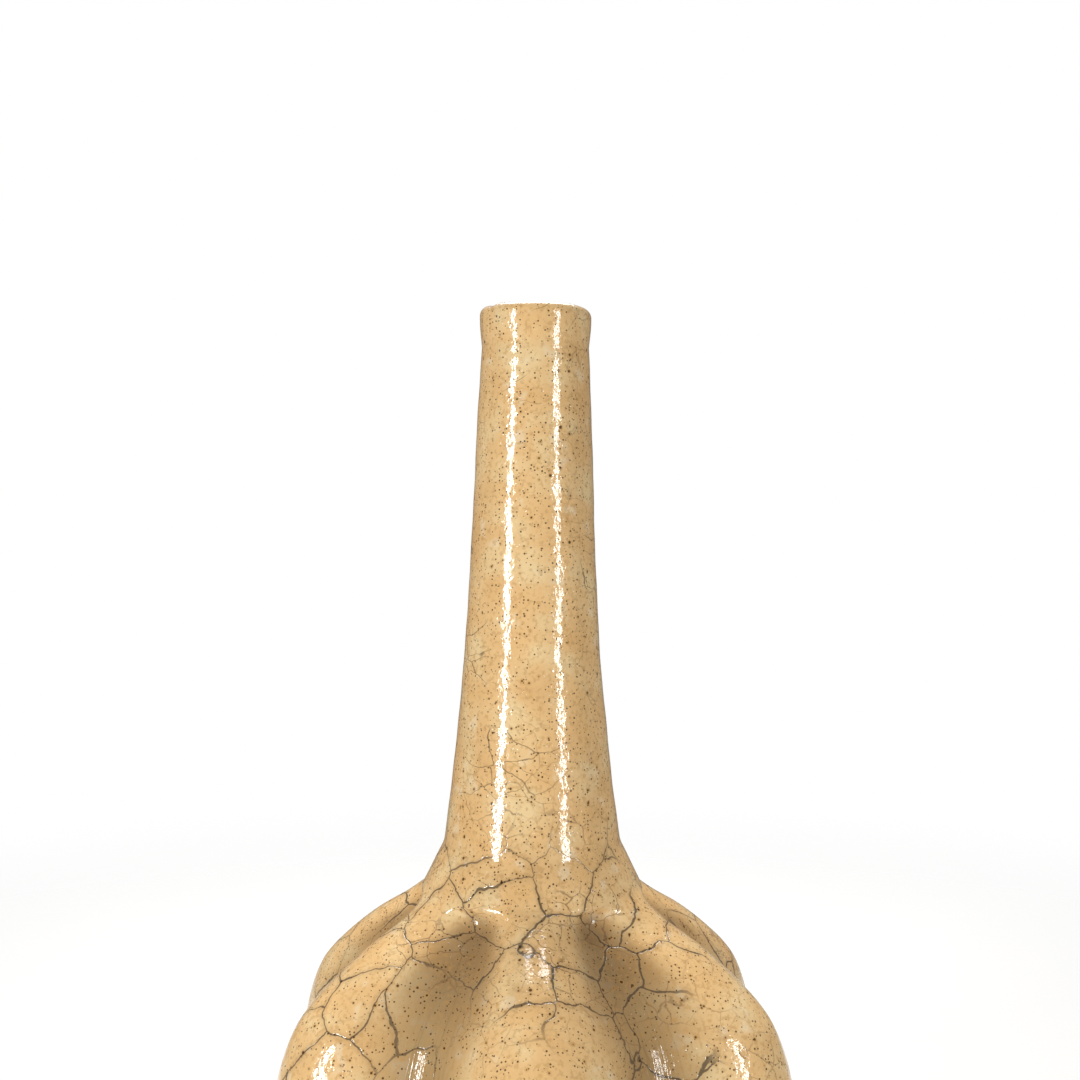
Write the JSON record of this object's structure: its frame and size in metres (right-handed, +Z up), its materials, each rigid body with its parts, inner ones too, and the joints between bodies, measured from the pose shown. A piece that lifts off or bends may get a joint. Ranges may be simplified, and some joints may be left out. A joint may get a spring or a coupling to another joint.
{
  "type": "ceramic bottle",
  "caption": "Hollow glazed ceramic bottle with a lobed melon-shaped body, a flared shoulder joint and a tall slender tapering neck.",
  "frame": {"origin": "centre of the foot's underside, on the ground", "axes": "+Z up along the neck, -Y towards the front lobe"},
  "size_m": [0.125, 0.1376, 0.26],
  "materials": {
    "glaze": "glossy cream crackle glaze with iron specks",
    "bare_clay": "unglazed iron-bearing stoneware"
  },
  "bodies": {
    "root": {"foot_ring": "bare_clay", "lower_body": "glaze", "upper_body": "glaze", "neck": "glaze"}
  },
  "joints": []
}
